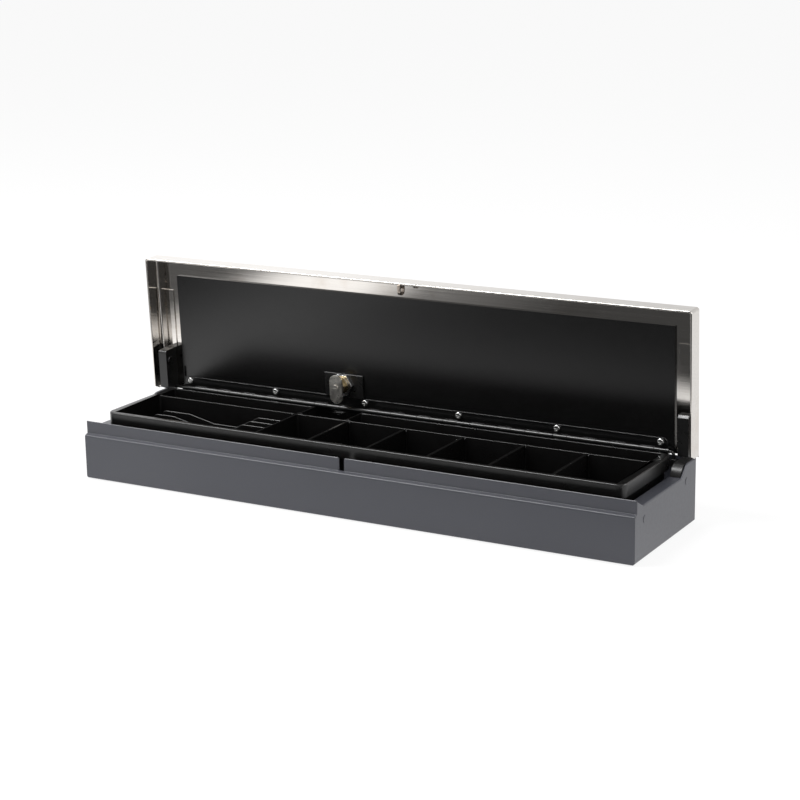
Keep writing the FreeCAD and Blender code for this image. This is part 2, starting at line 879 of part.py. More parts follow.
def make_spring_clamp():
    """The deep block on the left of the lid, which grips the torsion bar's straight end."""
    corners = [
        (-clamp_rear, plate, 0),
        (-clamp_rear, clamp_heel_depth, 0),
        (clamp_heel_length, clamp_depth, 0),
        (clamp_length, clamp_depth, clamp_round),
        (clamp_length, plate, 0),
    ]
    body = lid_profile(corners, clamp_outer, clamp_inner)
    bore_end = Vector(clamp_inner - bar_end_engagement - 1, hinge_y, hinge_z)
    body = body.cut(rod(pin_bore_radius, bore_end, Vector(clamp_inner + 1, hinge_y, hinge_z)))
    y, z = hinge_y - clamp_bolt_reach, lid_top - clamp_bolt_depth
    hole_end = Vector(clamp_inner - clamp_bolt_length - 1, y, z)
    return body.cut(rod(clamp_bolt_shank + joint_clearance, hole_end, Vector(clamp_inner + 1, y, z)))


def make_clamp_bolt():
    y, z = hinge_y - clamp_bolt_reach, lid_top - clamp_bolt_depth
    shank = rod(clamp_bolt_shank, Vector(clamp_inner - clamp_bolt_length, y, z), Vector(clamp_inner, y, z))
    head_end = clamp_inner + clamp_bolt_height
    head = rod(clamp_bolt_radius, Vector(clamp_inner, y, z), Vector(head_end, y, z))
    head = round_edges(head, clamp_bolt_height * head_round_share, lambda box: is_at(box.XMin, head_end))
    return shank.fuse(head).removeSplitter()


def make_stop_block():
    """The thin block on the right of the lid, whose heel meets the side flange when the lid stands open."""
    heel = hinge_z - rear_top - stop_clearance
    below = stop_depth - axis_depth
    arc_end = -math.sqrt(heel ** 2 - below ** 2)
    half_turn = math.atan2(below, -arc_end) / 2
    arc_middle = (-heel * math.cos(half_turn), axis_depth + heel * math.sin(half_turn))
    points = [
        (-heel, plate),
        (-heel, axis_depth),
        arc_middle,
        (arc_end, stop_depth),
        (stop_length - stop_bevel, stop_depth),
        (stop_length, stop_depth - stop_bevel),
        (stop_length, plate),
    ]
    x_low = half_width - stop_side_gap - stop_width
    places = [Vector(x_low, hinge_y - reach, lid_top - depth) for reach, depth in points]
    edges = [Part.LineSegment(places[0], places[1]).toShape()]
    edges += [Part.Arc(places[1], places[2], places[3]).toShape()]
    loop = places[3:] + [places[0]]
    edges += [Part.LineSegment(a, b).toShape() for a, b in zip(loop, loop[1:])]
    return Part.Face(Part.Wire(edges)).extrude(Vector(stop_width, 0, 0))


def make_stop_post():
    """The plastic post in the right rear corner, under the thin block's heel, cut back beside the rear tab."""
    x_high = half_width - post_outer_gap
    y_high = back_y - sheet - post_rear_gap
    y_low = y_high - post_length
    corners = [(y_low, sheet, 0), (y_high, sheet, 0), (y_high, rear_top, 0), (y_low, rear_top, post_round)]
    post = profile_across(corners, x_high - post_width, x_high)
    tab_top = rear_rivet_z + tab_height / 2
    beside_tab = block(half_width - post_lower_gap, half_width, y_low - 1, y_high + 1, 0, tab_top + post_tab_gap)
    return post.cut(beside_tab)


def make_striker_eye():
    """The upright eye behind the lid's front edge, which drops through the front slot."""
    reach = hinge_y - eye_y
    half = eye_thickness / 2
    disc = rod(eye_radius, Vector(-half, eye_y, bolt_z), Vector(half, eye_y, bolt_z))
    hem_face = lid_reach - 2 * plate
    arm = lid_box(-half, half, reach, hem_face, eye_depth - eye_radius, eye_depth + eye_radius)
    hem_start = lid_depth - hem_height
    pad = lid_box(-half, half, reach, lid_reach - plate, eye_depth - eye_radius, hem_start)
    body = disc.fuse([arm, pad]).removeSplitter()
    return body.cut(rod(eye_hole_radius, Vector(-half - 1, eye_y, bolt_z), Vector(half + 1, eye_y, bolt_z)))


def make_lock_plate():
    start = leaf_reach + 2 * joint_clearance
    thickness_end = panel_face + lock_plate_thickness
    x_low, x_high = lock_x - lock_plate_left, lock_x + lock_plate_right
    body = lid_box(x_low, x_high, start, lock_plate_front, panel_face, thickness_end)
    return body.cut(lid_rod(barrel_radius + lock_fit, lock_x, lock_reach, 0, thickness_end + 1))


def make_lock_barrel():
    body = lid_rod(barrel_radius, lock_x, lock_reach, 0, barrel_depth)
    flange = lid_rod(barrel_flange_radius, lock_x, lock_reach, -barrel_flange_height, 0)
    outer_z = lid_top + barrel_flange_height
    flange_round = barrel_flange_height * head_round_share
    flange = round_edges(flange, flange_round, lambda box: is_at(box.ZMin, outer_z))
    body = body.fuse(flange).removeSplitter()
    bore_start = -barrel_flange_height - 1
    return body.cut(lid_rod(plug_radius + joint_clearance, lock_x, lock_reach, bore_start, barrel_depth + 1))


def make_lock_nut():
    low = panel_face + lock_plate_thickness
    side = nut_across_flats / math.sqrt(3)
    corners = []
    for i in range(6):
        angle = math.radians(60 * i)
        corners.append((lock_x + side * math.cos(angle), lock_y + side * math.sin(angle), 0))
    high = low + nut_height
    body = profile_up(corners, lid_top - high, lid_top - low)
    return body.cut(lid_rod(barrel_radius + joint_clearance, lock_x, lock_reach, low - 1, high + 1))


def make_lock_plug():
    outer = -barrel_flange_height + plug_recess
    body = lid_rod(plug_radius, lock_x, lock_reach, outer, barrel_depth)
    x_low, x_high = lock_x - keyway_width / 2, lock_x + keyway_width / 2
    reach_low, reach_high = lock_reach - keyway_length / 2, lock_reach + keyway_length / 2
    return body.cut(lid_box(x_low, x_high, reach_low, reach_high, outer - 1, outer + keyway_depth))


def make_lock_cam():
    """The flat tongue on the back of the lock, upright on the lid when unlocked."""
    low, high = barrel_depth, barrel_depth + cam_thickness
    radius = cam_width / 2
    reach_low, reach_high = lock_reach - cam_nose + radius, lock_reach + cam_tail - radius
    body = lid_box(lock_x - radius, lock_x + radius, reach_low, reach_high, low, high)
    ends = [lid_rod(radius, lock_x, reach, low, high) for reach in (reach_low, reach_high)]
    body = body.fuse(ends).removeSplitter()
    return body.cut(lid_rod(cam_screw_shank + joint_clearance, lock_x, lock_reach, low - 1, high + 1))


def make_cam_screw():
    low = barrel_depth + cam_thickness
    head = lid_rod(cam_screw_radius, lock_x, lock_reach, low, low + cam_screw_height)
    shank = lid_rod(cam_screw_shank, lock_x, lock_reach, barrel_depth, low)
    body = head.fuse(shank).removeSplitter()
    x_low, x_high = lock_x - cam_screw_radius, lock_x + cam_screw_radius
    reach_low, reach_high = lock_reach - cam_screw_slot / 2, lock_reach + cam_screw_slot / 2
    slot_floor = low + cam_screw_height / 2
    return body.cut(lid_box(x_low, x_high, reach_low, reach_high, slot_floor, low + cam_screw_height))


def make_lock_keeper():
    """The hooked bracket on the base that the turned cam goes under."""
    tongue_low = lid_top - barrel_depth + keeper_gap
    tongue_high = tongue_low + keeper_thickness
    x_high = lock_x - keeper_offset
    x_low = x_high - keeper_width
    riser_back = lock_y + keeper_back + keeper_thickness
    path = [
        (lock_y - keeper_front, tongue_high),
        (riser_back, tongue_high),
        (riser_back, sheet),
        (riser_back - keeper_foot, sheet),
    ]
    return profile_across(sheet_section(path, keeper_thickness, bend_inside), x_low, x_high)


def tray_plan(side_inset, end_inset):
    """The tray's outline in plan, drawn in from the rim at the sides and at the front and back."""
    x, radius = tray_half - side_inset, tray_corner - side_inset
    return rectangle(-x, x, tray_front + end_inset, tray_back - end_inset, radius)


def make_tray():
    rim = profile_up(tray_plan(0, 0), tray_top - rim_height, tray_top)
    rim = round_edges(rim, rim_round, lambda box: is_at(box.ZMin, tray_top))
    body_plan = tray_plan(side_rim_width - tray_wall, rim_width - tray_wall)
    body = profile_up(body_plan, tray_bottom, tray_top - rim_height)
    body = round_edges(body, tray_foot_round, lambda box: is_at(box.ZMax, tray_bottom))
    body = body.fuse(rim).removeSplitter()

    cups = pocket(cup_left, pocket_half, pocket_front, cup_back)
    scoops = edges_at(cups, lambda box: is_at(box.ZMax, pocket_floor) and box.XLength > cup_scoop)
    cups = cups.makeFillet(cup_scoop, scoops)
    notes = pocket(-pocket_half, note_right, pocket_front, cup_back)
    left_trough = pocket(-pocket_half, lock_x - bay_left - inner_wall, trough_front, pocket_back)
    right_trough = pocket(lock_x + bay_right + inner_wall, pocket_half, trough_front, pocket_back)
    body = body.cut([cups, notes, left_trough, right_trough])
    bay_plan = [
        (lock_x - bay_left, trough_front, pocket_corner),
        (lock_x + bay_right, trough_front, pocket_corner),
        (lock_x + bay_right, tray_back + 1, 0),
        (lock_x - bay_left, tray_back + 1, 0),
    ]
    body = body.cut(profile_up(bay_plan, tray_bottom - 1, tray_top + 1))
    inner_top = tray_top - inner_wall_drop
    lowered = block(-pocket_half, pocket_half, pocket_front, trough_front, inner_top, tray_top + 1)
    return body.cut(lowered).fuse(make_divider_ribs()).removeSplitter()


def pocket(x_low, x_high, y_low, y_high):
    """A rounded hollow in the tray, from above its rim down to its floor."""
    return profile_up(rectangle(x_low, x_high, y_low, y_high, pocket_corner), pocket_floor, tray_top + 1)


def divider_places():
    return [first_divider + cup_step * i for i in range(cup_count - 1)]


def make_divider_ribs():
    """Pairs of upright ribs, front and back, that each divider slides down between."""
    ribs = []
    for x in divider_places():
        gap = divider_thickness / 2 + divider_side_clearance
        for low in (x - gap - rib_width, x + gap):
            for y_low in (pocket_front - NEAR, cup_back - rib_depth):
                y_high = y_low + rib_depth + NEAR
                ribs.append(block(low, low + rib_width, y_low, y_high, pocket_floor, tray_top - rib_drop))
    return ribs


def make_divider(x):
    y_low = pocket_front + divider_end_clearance
    y_high = cup_back - divider_end_clearance
    top = tray_top - divider_drop
    scoop = cup_scoop + divider_scoop_ease
    low = [(y_low, pocket_floor, scoop), (y_high, pocket_floor, scoop)]
    corners = low + [(y_high, top, divider_corner), (y_low, top, divider_corner)]
    half = divider_thickness / 2
    body = profile_across(corners, x - half, x + half)
    return round_edges(body, divider_round, lambda box: is_at(box.ZMin, top) and box.YLength > cup_scoop)


def make_partition(place, dip):
    """A thin upright wall between two note slots, dipped so that a note can be lifted out."""
    y = pocket_front + place
    left = -pocket_half + partition_start
    right = note_right
    high = tray_top - partition_drop
    left_top = tray_top - partition_left_drop
    low = tray_top - partition_low_drop
    corners = [
        (left, pocket_floor, 0),
        (right, pocket_floor, 0),
        (right, high, 0),
        (-pocket_half + partition_step_end, high, partition_bend / 2),
        (-pocket_half + partition_low_end, low, partition_bend / 2),
        (-pocket_half + dip + partition_fall, low, partition_bend),
        (-pocket_half + dip, left_top, partition_bend),
        (left, left_top, partition_corner),
    ]
    half = partition_thickness / 2
    return profile_along(corners, y - half, y + half)


def make_latch_bracket():
    """The plate behind the front band, which passes under the slot, with three ears that guide the bolt."""
    y_wall = front_y + step_back + sheet
    body = block(bracket_left, bracket_right, y_wall, y_wall + sheet, bracket_bottom, bracket_top)
    eye_room = eye_thickness / 2 + 1
    notch_low = bracket_bottom + bracket_neck
    body = body.cut(block(-eye_room, eye_room, y_wall - 1, y_wall + 2 * sheet, notch_low, bracket_top + 1))
    ears = []
    ear_top = bolt_z + ear_top_rise
    ear_corners = [
        (y_wall, bracket_bottom, 0),
        (y_wall + ear_depth, bracket_bottom, 0),
        (y_wall + ear_depth, ear_top, ear_round),
        (y_wall, ear_top, 0),
    ]
    for x in ear_starts:
        ears.append(profile_across(ear_corners, x, x + ear_thickness))
    body = body.fuse(ears).removeSplitter()
    start = Vector(bracket_left, bolt_y, bolt_z)
    return body.cut(rod(bolt_radius + bolt_clearance, start, Vector(bracket_right, bolt_y, bolt_z)))


def make_latch_bolt():
    start = Vector(latch_x, bolt_y, bolt_z)
    body = rod(bolt_radius, start, Vector(link_x, bolt_y, bolt_z))
    return body.makeChamfer(bolt_nose, edges_at(body, lambda box: is_at(box.XMax, latch_x)))


def solenoid_rod(radius, x_low, x_high):
    """A round bar on the solenoid's axis."""
    return rod(radius, Vector(x_low, solenoid_y, solenoid_z), Vector(x_high, solenoid_y, solenoid_z))


def make_latch_link():
    """The small plate that joins the bolt to the plunger below it, behind the bracket."""
    y_arm = bolt_y - bolt_radius
    y_leg = front_y + step_back + 2 * sheet + link_bracket_gap
    y_foot, y_high = solenoid_y - plunger_radius, y_leg + link_width
    z_foot = solenoid_z + plunger_radius + link_end_margin
    z_low = solenoid_z - plunger_radius - link_end_margin
    z_arm, z_high = bolt_z - bolt_radius, bolt_z + bolt_radius
    corners = [
        (y_arm, z_arm, 0),
        (y_leg, z_arm, 0),
        (y_leg, z_foot, 0),
        (y_foot, z_foot, link_round),
        (y_foot, z_low, link_round),
        (y_high, z_low, link_round),
        (y_high, z_high, link_round),
        (y_arm, z_high, 0),
    ]
    return profile_across(corners, link_x, link_x + link_thickness)


def make_plunger():
    start = link_x + link_thickness
    return solenoid_rod(plunger_radius, start, start + plunger_length)


def make_solenoid_frame():
    """An open steel frame: a floor and two ends with the plunger's holes."""
    y_low, y_high = solenoid_y - solenoid_width / 2, solenoid_y + solenoid_width / 2
    z_low, z_high = solenoid_z - solenoid_height / 2, solenoid_z + solenoid_height / 2
    x_low, x_high = solenoid_x, solenoid_x + solenoid_length
    wall = solenoid_frame
    body = block(x_low, x_high, y_low, y_high, z_low, z_high)
    room = block(x_low + wall, x_high - wall, y_low - 1, y_high + 1, z_low + wall, z_high + 1)
    return body.cut([room, solenoid_rod(plunger_radius + plunger_clearance, x_low - 1, x_high + 1)])


def make_solenoid_coil():
    low = solenoid_x + solenoid_frame + coil_gap
    high = solenoid_x + solenoid_length - solenoid_frame - coil_gap
    body = solenoid_rod(solenoid_height / 2 - solenoid_frame, low, high)
    return body.cut(solenoid_rod(plunger_radius + plunger_clearance, low - 1, high + 1))


def make_micro_switch():
    y_low = front_y + step_back + 2 * sheet
    y_high = y_low + switch_width
    z_high = bolt_z + switch_top_rise
    body = block(switch_x - switch_length, switch_x, y_low, y_high, z_high - switch_height, z_high)
    y, z = bolt_y + button_offset, bolt_z - button_drop
    start = Vector(switch_x - button_depth - button_travel - 1, y, z)
    return body.cut(rod(button_radius + bolt_clearance, start, Vector(switch_x + 1, y, z)))


def make_switch_button():
    y, z = bolt_y + button_offset, bolt_z - button_drop
    start = Vector(switch_x - button_depth, y, z)
    return rod(button_radius, start, Vector(switch_x + button_reach, y, z))


def socket_outline(half_w, half_h, radius):
    """A rectangle about the rear socket's middle."""
    return rectangle(socket_x - half_w, socket_x + half_w, socket_z - half_h, socket_z + half_h, radius)


def make_socket():
    """The modular jack in the rear panel that the opening cable plugs into."""
    half_w, half_h = socket_width / 2, socket_height / 2
    y_front = back_y - socket_depth
    flange_back = back_y + socket_flange_thickness
    mouth_front = back_y - socket_mouth_depth
    body = profile_along(socket_outline(half_w, half_h, 0), y_front, back_y)
    flange = socket_outline(half_w + socket_flange, half_h + socket_flange, socket_corner)
    body = body.fuse(profile_along(flange, back_y, flange_back)).removeSplitter()
    mouth_w, mouth_h = socket_mouth_width / 2, socket_mouth_height / 2
    mouth = profile_along(socket_outline(mouth_w, mouth_h, 0), mouth_front, flange_back + 1)
    key_low = socket_z - mouth_h - socket_key_height
    key_w = socket_key_width / 2
    key = block(socket_x - key_w, socket_x + key_w, mouth_front, flange_back + 1, key_low, socket_z)
    return body.cut([mouth, key])


def make_harness():
    """The round lead from the rear socket, along the floor under the tray, to the solenoid."""
    floor_z = sheet + harness_radius + harness_floor_gap
    back_lane = back_y - harness_from_back
    coil_end = solenoid_x + solenoid_length
    entry_z = solenoid_z - harness_drop
    bends = [
        (Vector(socket_x, back_lane, floor_z), harness_bend),
        (Vector(socket_x, solenoid_y, floor_z), harness_bend),
        (Vector(coil_end + harness_turn, solenoid_y, floor_z), harness_bend),
        (Vector(coil_end + harness_turn, solenoid_y, entry_z), harness_bend),
    ]
    start = Vector(socket_x, back_lane, socket_z - socket_height / 2)
    closed = outline([(start, 0)] + bends + [(Vector(coil_end, solenoid_y, entry_z), 0)])
    path = Part.Wire(closed.OrderedEdges[:-1])
    ring = Part.Wire([Part.makeCircle(harness_radius, start, Vector(0, 0, 1))])
    return path.makePipeShell([ring], True, False)


os.makedirs("parts", exist_ok=True)

save("base_pan", make_base_pan())
save("front_panel", make_front_panel())
save("rear_panel", make_rear_panel())
save("side_rivets", *make_side_rivets())
save("rubber_feet", *make_feet())
save("stop_post", make_stop_post())
save("tray_rail_left", make_tray_rail(-rail_x))
save("tray_rail_right", make_tray_rail(rail_x))
save("hinge_lower_leaf", make_lower_leaf())
save("lower_leaf_rivets", *make_leaf_rivets())
save("torsion_bar", make_torsion_bar())
save("bar_anchor", make_bar_anchor())
save("lock_keeper", make_lock_keeper())
save("latch_bracket", make_latch_bracket())
save("latch_bolt", make_latch_bolt())
save("latch_link", make_latch_link())
save("solenoid_plunger", make_plunger())
save("solenoid_frame", make_solenoid_frame())
save("solenoid_coil", make_solenoid_coil())
save("micro_switch", make_micro_switch())
save("switch_button", make_switch_button())
save("connector_socket", make_socket())
save("wiring_harness", make_harness())

save("lid_shell", swing_open(make_lid_shell()))
save("lid_inner_panel", swing_open(make_lid_panel()))
save("hinge_upper_leaf", swing_open(make_upper_leaf()))
save("upper_leaf_screws", *[swing_open(screw) for screw in make_leaf_screws()])
save("lid_strip_left", swing_open(make_strip(-1)))
save("lid_strip_right", swing_open(make_strip(1)))
save("spring_clamp", swing_open(make_spring_clamp()))
save("clamp_bolt", swing_open(make_clamp_bolt()))
save("stop_block", swing_open(make_stop_block()))
save("striker_eye", swing_open(make_striker_eye()))
save("lock_plate", swing_open(make_lock_plate()))
save("lock_barrel", swing_open(make_lock_barrel()))
save("lock_nut", swing_open(make_lock_nut()))
save("lock_plug", swing_open(make_lock_plug()))
save("lock_cam", swing_open(make_lock_cam()))
save("cam_screw", swing_open(make_cam_screw()))

save("tray", make_tray())
for number, place in enumerate(divider_places(), start=1):
    save("cup_divider_" + str(number), make_divider(place))
for name, place, dip in zip(("front", "middle", "rear"), partition_places, partition_dips):
    save("note_partition_" + name, make_partition(place, dip))
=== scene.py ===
import json
import math

import bmesh
import bpy
from mathutils import Matrix, Vector


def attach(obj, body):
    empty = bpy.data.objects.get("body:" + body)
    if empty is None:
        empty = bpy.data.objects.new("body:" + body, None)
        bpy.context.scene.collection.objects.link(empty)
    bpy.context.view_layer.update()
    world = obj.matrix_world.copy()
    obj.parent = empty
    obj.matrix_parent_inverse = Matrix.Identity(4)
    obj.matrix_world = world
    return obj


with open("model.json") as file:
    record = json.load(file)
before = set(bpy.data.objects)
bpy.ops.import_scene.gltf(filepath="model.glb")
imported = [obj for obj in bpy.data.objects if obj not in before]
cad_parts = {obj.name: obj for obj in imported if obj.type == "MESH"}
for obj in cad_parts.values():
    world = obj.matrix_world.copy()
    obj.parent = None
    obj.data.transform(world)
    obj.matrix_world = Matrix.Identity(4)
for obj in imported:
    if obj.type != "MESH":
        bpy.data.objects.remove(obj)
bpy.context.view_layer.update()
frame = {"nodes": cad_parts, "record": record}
nodes = frame["nodes"]

# The drawer's own places, in metres, in the same frame as the CAD.
FLOOR_Z = -0.0015
HINGE = Vector((0.0, 0.06745, 0.065))
LID_ANGLE = math.radians(87.4)

# The camera that took the photograph, solved from the case's own square edges.
CAMERA_PLACE = (0.97241, -1.65699, 0.60462)
CAMERA_BACK = (0.47945, -0.83975, 0.25484)
CAMERA_ROLL = math.radians(-0.963)
PHOTO_PIXELS = 800
FOCAL_PIXELS = 2066.44
SENSOR = 36.0


def make_camera():
    back = Vector(CAMERA_BACK).normalized()
    right = Vector((0, 0, 1)).cross(back).normalized()
    up = back.cross(right)
    turned_right = math.cos(CAMERA_ROLL) * right + math.sin(CAMERA_ROLL) * up
    turned_up = math.cos(CAMERA_ROLL) * up - math.sin(CAMERA_ROLL) * right
    turn = Matrix((turned_right, turned_up, back)).transposed()
    data = bpy.data.cameras.new("camera")
    data.sensor_width = SENSOR
    data.lens = SENSOR * FOCAL_PIXELS / PHOTO_PIXELS
    data.clip_start = 0.05
    data.clip_end = 60.0
    camera = bpy.data.objects.new("camera", data)
    camera.matrix_world = Matrix.Translation(CAMERA_PLACE) @ turn.to_4x4()
    bpy.context.scene.collection.objects.link(camera)
    bpy.context.scene.camera = camera


make_camera()


# Materials. Noise scales are in cells to a metre, and bump depths in metres.
class Paint:
    """A node material in the making."""

    def __init__(self, name):
        self.material = bpy.data.materials.new(name)
        self.material.use_nodes = True
        self.tree = self.material.node_tree
        self.tree.nodes.clear()
        output = self.add("ShaderNodeOutputMaterial")
        self.shader = self.add("ShaderNodeBsdfPrincipled")
        self.link(self.shader.outputs[0], output.inputs[0])
        self.place = self.add("ShaderNodeTexCoord").outputs["Object"]

    def add(self, kind, **settings):
        node = self.tree.nodes.new(kind)
        for key, value in settings.items():
            setattr(node, key, value)
        return node

    def link(self, start, end):
        self.tree.links.new(start, end)

    def noise(self, scale, detail=3.0, stretch=(1, 1, 1), rough=0.5):
        mapping = self.add("ShaderNodeMapping")
        mapping.inputs["Scale"].default_value = stretch
        self.link(self.place, mapping.inputs[0])
        texture = self.add("ShaderNodeTexNoise")
        self.link(mapping.outputs[0], texture.inputs["Vector"])
        texture.inputs["Scale"].default_value = scale
        texture.inputs["Detail"].default_value = detail
        texture.inputs["Roughness"].default_value = rough
        return texture.outputs["Fac"]

    def range(self, value, low, high, start=0.3, end=0.7):
        """Goes from low to high while a value goes from start to end."""
        node = self.add("ShaderNodeMapRange")
        self.link(value, node.inputs["Value"])
        node.inputs["From Min"].default_value = start
        node.inputs["From Max"].default_value = end
        node.inputs["To Min"].default_value = low
        node.inputs["To Max"].default_value = high
        return node.outputs[0]

    def mix(self, factor, first, second):
        """Two colours mixed by a factor; each colour may be a socket or plain numbers."""
        node = self.add("ShaderNodeMix", data_type="RGBA")
        self.link(factor, node.inputs[0])
        for socket, value in ((node.inputs[6], first), (node.inputs[7], second)):
            if isinstance(value, tuple):
                socket.default_value = (*value, 1.0)
            else:
                self.link(value, socket)
        return node.outputs[2]

    def math(self, operation, first, second):
        node = self.add("ShaderNodeMath", operation=operation)
        for socket, value in zip(node.inputs, (first, second)):
            if isinstance(value, (int, float)):
                socket.default_value = value
            else:
                self.link(value, socket)
        return node.outputs[0]

    def bump(self, height, distance, strength):
        node = self.add("ShaderNodeBump")
        node.inputs["Distance"].default_value = distance
        node.inputs["Strength"].default_value = strength
        self.link(height, node.inputs["Height"])
        self.link(node.outputs[0], self.shader.inputs["Normal"])

    def colour(self, value):
        self.link(value, self.shader.inputs["Base Color"])

    def roughness(self, value):
        self.link(value, self.shader.inputs["Roughness"])

    def metal(self):
        self.shader.inputs["Metallic"].default_value = 1.0


def shaded(colour, factor):
    return tuple(factor * c for c in colour)


def powder_coat():
    paint = Paint("powder_coat")
    drift = paint.noise(9, 2)
    grain = paint.noise(1500, 3, rough=0.6)
    base = paint.mix(drift, (0.033, 0.0345, 0.0445), (0.039, 0.0405, 0.0505))
    paint.colour(paint.mix(paint.range(grain, 0.0, 0.12), base, (0.09, 0.094, 0.10)))
    paint.roughness(paint.range(paint.noise(300, 4), 0.31, 0.37))
    paint.bump(paint.noise(1400, 3, rough=0.55), 0.00001, 0.5)
    return paint.material


def black_paint(name, shade, rough, grain=900, depth=0.00003):
    paint = Paint(name)
    drift = paint.noise(14, 3)
    low = (shade * 0.85, shade * 0.85, shade * 0.87)
    high = (shade * 1.2, shade * 1.2, shade * 1.2)
    paint.colour(paint.mix(drift, low, high))
    paint.roughness(paint.range(paint.noise(160, 4), *rough))
    paint.bump(paint.noise(grain, 3, rough=0.55), depth, 0.4)
    return paint.material


def moulded_plastic(name, colour, rough, grain=2200, depth=0.00003):
    paint = Paint(name)
    paint.colour(paint.mix(paint.noise(25, 3), colour, shaded(colour, 1.3)))
    paint.roughness(paint.range(paint.noise(90, 4), *rough))
    paint.bump(paint.noise(grain, 2, rough=0.5), depth, 0.5)
    return paint.material


def brushed(name, colour, rough, smudge):
    """Bare metal with fine lines along X and faint brown finger marks."""
    paint = Paint(name)
    paint.metal()
    lines = paint.noise(1.0, 4, stretch=(4, 700, 700), rough=0.7)
    base = paint.mix(paint.range(lines, 0.0, 1.0), shaded(colour, 0.86), colour)
    brown = (colour[0] * 0.62, colour[1] * 0.50, colour[2] * 0.40)
    marks = paint.range(paint.noise(22, 5, rough=0.65), 0.0, smudge, 0.55, 0.75)
    paint.colour(paint.mix(marks, base, brown))
    low, high = rough
    wave = paint.math("ADD", paint.range(lines, 0.0, high - low), low)
    blur = paint.range(paint.noise(16, 4, rough=0.6), -0.03, 0.05)
    paint.roughness(paint.math("ADD", wave, blur))
    paint.bump(lines, 0.000012, 0.35)
    return paint.material


def plated(name, colour, rough, grain=420, wear_and_reflection=0.8):
    """Small bright fasteners and turned parts, in patches of a worn and a full colour; on the lock cam
    the large dark patches are painted reflections.
    """
    paint = Paint(name)
    paint.metal()
    patches = paint.range(paint.noise(grain, 2), 0.0, 1.0)
    paint.colour(paint.mix(patches, shaded(colour, wear_and_reflection), colour))
    paint.roughness(paint.range(paint.noise(700, 3), *rough))
    paint.bump(paint.noise(1600, 2), 0.00002, 0.35)
    return paint.material


def soft_rubber():
    paint = Paint("rubber_black")
    paint.colour(paint.mix(paint.noise(120, 3), (0.015, 0.015, 0.015), (0.03, 0.03, 0.03)))
    paint.roughness(paint.range(paint.noise(400, 3), 0.7, 0.85))
    paint.bump(paint.noise(900, 3), 0.00008, 0.5)
    return paint.material


INSERT_BLACK = (0.0032, 0.0030, 0.0030)
LOOKS = {
    "base_paint": powder_coat(),
    "rubber": soft_rubber(),
    "black_steel": black_paint("black_steel", 0.006, (0.24, 0.34)),
    "hinge_steel": black_paint("hinge_steel", 0.004, (0.16, 0.22), 500, 0.000004),
    "clamp_paint": black_paint("clamp_paint", 0.007, (0.26, 0.36)),
    "spring_steel": plated("spring_steel", (0.07, 0.07, 0.072), (0.30, 0.42)),
    "eye_steel": plated("eye_steel", (0.52, 0.45, 0.39), (0.20, 0.30)),
    "zinc_steel": plated("zinc_steel", (0.60, 0.60, 0.60), (0.20, 0.32)),
    "screw_steel": plated("screw_steel", (0.80, 0.80, 0.79), (0.12, 0.20)),
    "stainless": brushed("stainless", (0.72, 0.69, 0.655), (0.045, 0.10), 0.22),
    "lock_chrome": plated("lock_chrome", (0.70, 0.64, 0.56), (0.08, 0.14)),
    # The lock cam's large dark and bright patches are painted reflections, a mottle of its surroundings
    # painted into its colour.
    "cam_steel": plated("cam_steel", (0.92, 0.89, 0.83), (0.26, 0.40), 130, 0.45),
    "lock_brass": plated("lock_brass", (0.78, 0.60, 0.32), (0.14, 0.22)),
    "lid_panel": black_paint("lid_panel", 0.0030, (0.245, 0.27), 1500, 0.000002),
    "tray_plastic": moulded_plastic("tray_plastic", INSERT_BLACK, (0.27, 0.33), 900, 0.000002),
    "divider_plastic": moulded_plastic("divider_plastic", INSERT_BLACK, (0.22, 0.28), 900, 0.000003),
    "black_plastic": moulded_plastic("black_plastic", (0.0060, 0.0058, 0.0058), (0.32, 0.42)),
    "red_plastic": moulded_plastic("red_plastic", (0.42, 0.03, 0.02), (0.3, 0.4)),
    "coil_tape": moulded_plastic("coil_tape", (0.42, 0.22, 0.03), (0.25, 0.35)),
    "cable_jacket": moulded_plastic("cable_jacket", (0.014, 0.014, 0.014), (0.45, 0.55)),
}
SLOT_OF = {row["node"]: row["material_slot"] for row in frame["record"]["subparts"]}


def dress(piece, slot):
    piece.data.materials.clear()
    piece.data.materials.append(LOOKS[slot])


# Real edges are never sharp. These are the pieces' edge widths, in millimetres.
EDGE = {
    "base_pan": 0.30,
    "front_panel": 0.55,
    "rear_panel": 0.30,
    "tray": 0.18,
    "note_partition_front": 0.35,
    "note_partition_middle": 0.35,
    "note_partition_rear": 0.35,
    "lid_shell": 0.15,
    "lid_inner_panel": 0.4,
    "hinge_upper_leaf": 0.3,
    "hinge_lower_leaf": 0.2,
    "lid_strip_left": 0.1,
    "lid_strip_right": 0.1,
    "spring_clamp": 0.6,
    "stop_block": 0.6,
    "stop_post": 0.6,
    "striker_eye": 0.5,
    "lock_plate": 0.3,
    "lock_cam": 0.3,
    "lock_nut": 0.4,
    "lock_barrel": 0.3,
    "latch_bracket": 0.2,
    "latch_link": 0.2,
    "bar_anchor": 0.3,
    "lock_keeper": 0.2,
    "solenoid_frame": 0.2,
    "micro_switch": 0.3,
    "connector_socket": 0.3,
}

# These edges are cut nearly flat, and catch the light along their whole length.
FLAT_EDGES = {
    "front_panel",
    "tray",
    "note_partition_front",
    "note_partition_middle",
    "note_partition_rear",
    "hinge_upper_leaf",
    "lock_plate",
}
WELD_DISTANCE = 1e-6
FLAT_ANGLE = math.radians(0.6)
EDGE_ANGLE = math.radians(32)


